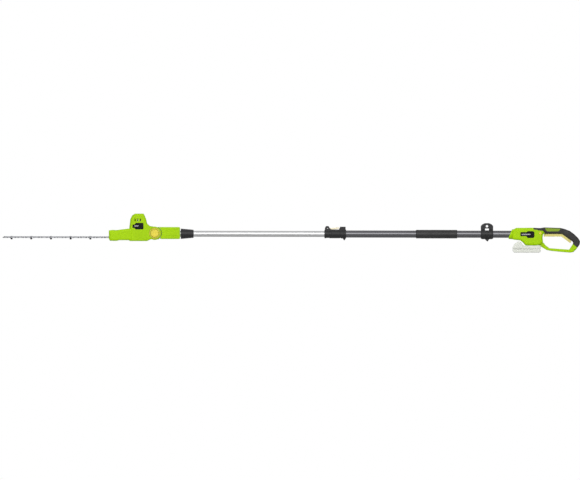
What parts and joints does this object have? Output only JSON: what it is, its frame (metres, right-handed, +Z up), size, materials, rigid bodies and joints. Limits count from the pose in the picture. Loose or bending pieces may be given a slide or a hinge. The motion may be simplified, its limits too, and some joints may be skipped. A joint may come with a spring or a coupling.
{
  "type": "pole hedge trimmer",
  "caption": "Cordless pole hedge trimmer: double-sided blades on a tilting motor head, telescoping pole with cam clamp, strap eye, loop handle with trigger and slide-on battery.",
  "frame": {"origin": "centre of the strap hanger's round eye", "axes": "+X along the pole towards the rear handle, blades at -X; +Y along the eye's axis, to the tool's right as its user looks towards the blades; +Z up, blades level"},
  "size_m": [2.4266, 0.075, 0.1615],
  "materials": {
    "green_plastic": "satin moulded",
    "black_plastic": "fine texture",
    "black_badge": "gloss",
    "soft_grip": "fine matt texture",
    "foam": "open-cell, matt",
    "dark_tube": "dark anodised, satin",
    "bright_tube": "polished",
    "blade_steel": "brushed",
    "hardware_steel": "zinc plated",
    "dark_screws": "black oxide",
    "spring_steel": "bright drawn",
    "cast_aluminium": "as cast",
    "motor_steel": "zinc plated",
    "magnet_dark": "sintered",
    "yellow_plastic": "satin",
    "trigger_plastic": "satin",
    "gold_ring": "satin",
    "cream_plastic": "satin",
    "pale_plastic": "satin",
    "cell_wrap": "heat-shrink wrap",
    "board_green": "solder mask",
    "contact_brass": "plated"
  },
  "bodies": {
    "handle": {"outer_tube": "dark_tube", "front_bush": "black_plastic", "foam_grip": "foam", "strap_hanger": "black_plastic", "hanger_bolt": "dark_screws", "clamp_body": "black_plastic", "clamp_screws": "dark_screws", "hinge_pins": "hardware_steel", "pressure_pad": "cream_plastic", "handle_shell_left": "green_plastic", "handle_shell_right": "green_plastic", "rear_grip_rubber": "soft_grip", "grip_inlays": "green_plastic", "handle_badges": "black_badge", "handle_screws": "dark_screws", "switch_module": "black_plastic", "trigger_spring": "spring_steel", "lockoff_spring": "spring_steel", "control_board": "board_green", "terminal_block": "black_plastic", "terminal_blades": "contact_brass"},
    "front_pole": {"inner_tube": "bright_tube", "rear_bush": "black_plastic", "pole_collar": "black_plastic", "pivot_tongue": "cast_aluminium", "yoke_cover_left": "green_plastic", "yoke_cover_right": "green_plastic", "yoke_screws": "dark_screws"},
    "head": {"head_shell_left": "green_plastic", "head_shell_right": "green_plastic", "head_badges": "black_badge", "head_screws": "dark_screws", "pivot_axle": "hardware_steel", "pivot_bezel": "gold_ring", "lock_spring": "spring_steel", "gear_plate": "cast_aluminium", "base_plate": "cast_aluminium", "crank_bearings": "hardware_steel", "motor_can": "motor_steel", "motor_magnets": "magnet_dark", "guide_bar": "blade_steel", "blade_bolts": "dark_screws"},
    "upper_blade": {"upper_blade": "blade_steel"},
    "lower_blade": {"lower_blade": "blade_steel"},
    "crank": {"crank_shaft": "hardware_steel", "drive_gear": "hardware_steel"},
    "rotor": {"motor_armature": "hardware_steel", "motor_pinion": "hardware_steel"},
    "pivot_button": {"pivot_button": "yellow_plastic", "lock_gear": "hardware_steel"},
    "clamp_lever": {"clamp_lever": "cream_plastic"},
    "trigger": {"trigger_lever": "trigger_plastic"},
    "lockoff": {"lockoff_button": "yellow_plastic"},
    "battery": {"battery_case_upper": "pale_plastic", "battery_case_lower": "pale_plastic", "battery_cells": "cell_wrap", "battery_board": "board_green", "battery_contacts": "contact_brass", "latch_spring": "spring_steel"},
    "battery_latch": {"battery_latch": "pale_plastic"}
  },
  "joints": [
    {"name": "pole_telescope", "type": "slide", "parent": "handle", "child": "front_pole", "axis": [1, 0, 0], "range_m": [0, 0.52]},
    {"name": "head_tilt", "type": "hinge", "parent": "front_pole", "child": "head", "pos_m": [-1.3965, 0, -0.0315], "axis": [0, 1, 0], "range_deg": [-75, 45]},
    {"name": "pivot_button_press", "type": "slide", "parent": "head", "child": "pivot_button", "axis": [0, 1, 0], "range_m": [0, 0.007], "stiffness_N_per_m": 900, "springref_m": -0.004, "deforming": ["lock_spring"]},
    {"name": "upper_blade_slide", "type": "slide", "parent": "head", "child": "upper_blade", "axis": [1, 0, 0], "range_m": [-0.005, 0.005]},
    {"name": "lower_blade_slide", "type": "slide", "parent": "head", "child": "lower_blade", "axis": [1, 0, 0], "range_m": [-0.005, 0.005]},
    {"name": "crank_spin", "type": "hinge", "parent": "head", "child": "crank", "pos_m": [-1.492, 0, -0.0335], "axis": [0, 0, 1], "continuous": true},
    {"name": "rotor_spin", "type": "hinge", "parent": "head", "child": "rotor", "pos_m": [-1.4632, 0, -0.0335], "axis": [0, 0, 1], "continuous": true},
    {"name": "clamp_lever_swing", "type": "hinge", "parent": "handle", "child": "clamp_lever", "pos_m": [-0.67, 0, -0.0103], "axis": [0, -1, 0], "range_deg": [0, 110]},
    {"name": "trigger_press", "type": "hinge", "parent": "handle", "child": "trigger", "pos_m": [0.352, 0, -0.0515], "axis": [0, 1, 0], "range_deg": [0, 2.5], "stiffness_Nm_per_rad": 3, "springref_deg": -2.86, "deforming": ["trigger_spring"]},
    {"name": "lockoff_press", "type": "slide", "parent": "handle", "child": "lockoff", "axis": [0, 1, 0], "range_m": [0, 0.003], "stiffness_N_per_m": 300, "springref_m": -0.003, "deforming": ["lockoff_spring"]},
    {"name": "battery_slide", "type": "slide", "parent": "handle", "child": "battery", "axis": [-1, 0, 0], "range_m": [0, 0.08]},
    {"name": "battery_latch_press", "type": "slide", "parent": "battery", "child": "battery_latch", "axis": [0, 0, -1], "range_m": [0, 0.0035], "stiffness_N_per_m": 400, "springref_m": -0.003, "deforming": ["latch_spring"]}
  ],
  "couplings": [
    {"joint": "lower_blade_slide", "follows": "upper_blade_slide", "ratio": -1},
    {"joint": "rotor_spin", "follows": "crank_spin", "ratio": -5}
  ]
}
